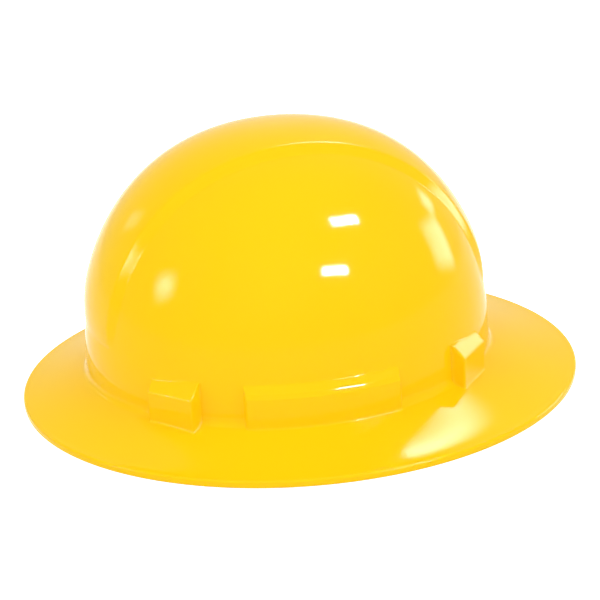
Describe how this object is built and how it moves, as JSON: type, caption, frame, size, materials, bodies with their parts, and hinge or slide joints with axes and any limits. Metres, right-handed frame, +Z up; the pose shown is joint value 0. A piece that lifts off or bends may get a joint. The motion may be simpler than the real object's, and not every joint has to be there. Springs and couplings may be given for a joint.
{
  "type": "full brim hard hat",
  "caption": "Domed safety helmet with a full brim, raised crest, side slots, plug-in webbing suspension and a headband closed by a ratchet knob at the nape.",
  "frame": {"origin": "middle of the rim, on the plane of the brim lip's flat underside", "axes": "+Z up through the crown, -Y towards the front of the hat, +X towards the wearer's left"},
  "size_m": [0.304, 0.331, 0.1542],
  "materials": {
    "shell": "glossy moulded",
    "key": "satin moulded",
    "webbing": "woven",
    "headband": "satin moulded",
    "pad": "soft",
    "ratchet": "satin moulded",
    "knob": "fine texture",
    "pinion": "smooth",
    "screw": "plated"
  },
  "bodies": {
    "shell": {"shell": "shell"},
    "suspension": {"key_front_left": "key", "key_front_right": "key", "key_rear_left": "key", "key_rear_right": "key", "crown_strap_lower": "webbing", "crown_strap_upper": "webbing"},
    "headband": {"headband": "headband", "brow_pad": "pad"},
    "arm_left": {"arm_left": "headband"},
    "arm_right": {"arm_right": "headband"},
    "rack_left": {"rack_left": "headband"},
    "rack_right": {"rack_right": "headband"},
    "ratchet": {"ratchet_base": "ratchet", "ratchet_cover": "ratchet", "housing_screws": "screw", "nape_pad": "pad"},
    "knob": {"knob": "knob", "drive_pinion": "pinion", "knob_screw": "screw"}
  },
  "joints": [
    {"name": "suspension_release", "type": "slide", "parent": "shell", "child": "suspension", "axis": [0, 0, 1], "range_m": [-0.045, 0]},
    {"name": "headband_height", "type": "slide", "parent": "suspension", "child": "headband", "axis": [0, 0, 1], "range_m": [-0.016, 0]},
    {"name": "arm_left_flex", "type": "hinge", "parent": "headband", "child": "arm_left", "pos_m": [0.077, -0.01, 0.0156], "axis": [0, 0, 1], "range_deg": [-6.5, 6.5]},
    {"name": "arm_right_flex", "type": "hinge", "parent": "headband", "child": "arm_right", "pos_m": [-0.077, -0.01, 0.0156], "axis": [0, 0, 1], "range_deg": [-6.5, 6.5]},
    {"name": "rack_left_flex", "type": "hinge", "parent": "arm_left", "child": "rack_left", "pos_m": [0.04, 0.0847, 0.0156], "axis": [0, 0, 1], "range_deg": [-6.5, 6.5]},
    {"name": "rack_right_flex", "type": "hinge", "parent": "arm_right", "child": "rack_right", "pos_m": [-0.04, 0.0827, 0.0156], "axis": [0, 0, 1], "range_deg": [-6.5, 6.5]},
    {"name": "ratchet_travel", "type": "slide", "parent": "headband", "child": "ratchet", "axis": [0, 1, 0], "range_m": [-0.0042, 0.0042]},
    {"name": "knob_turn", "type": "hinge", "parent": "ratchet", "child": "knob", "pos_m": [0, 0.0886, 0.0156], "axis": [0, 1, 0], "range_deg": [-100, 100]}
  ],
  "couplings": [
    {"joint": "arm_left_flex", "follows": "knob_turn", "ratio": 0.058078},
    {"joint": "arm_right_flex", "follows": "knob_turn", "ratio": -0.059331},
    {"joint": "rack_left_flex", "follows": "knob_turn", "ratio": -0.058078},
    {"joint": "rack_right_flex", "follows": "knob_turn", "ratio": 0.059331},
    {"joint": "ratchet_travel", "follows": "knob_turn", "m_per_rad": -0.0021721}
  ]
}
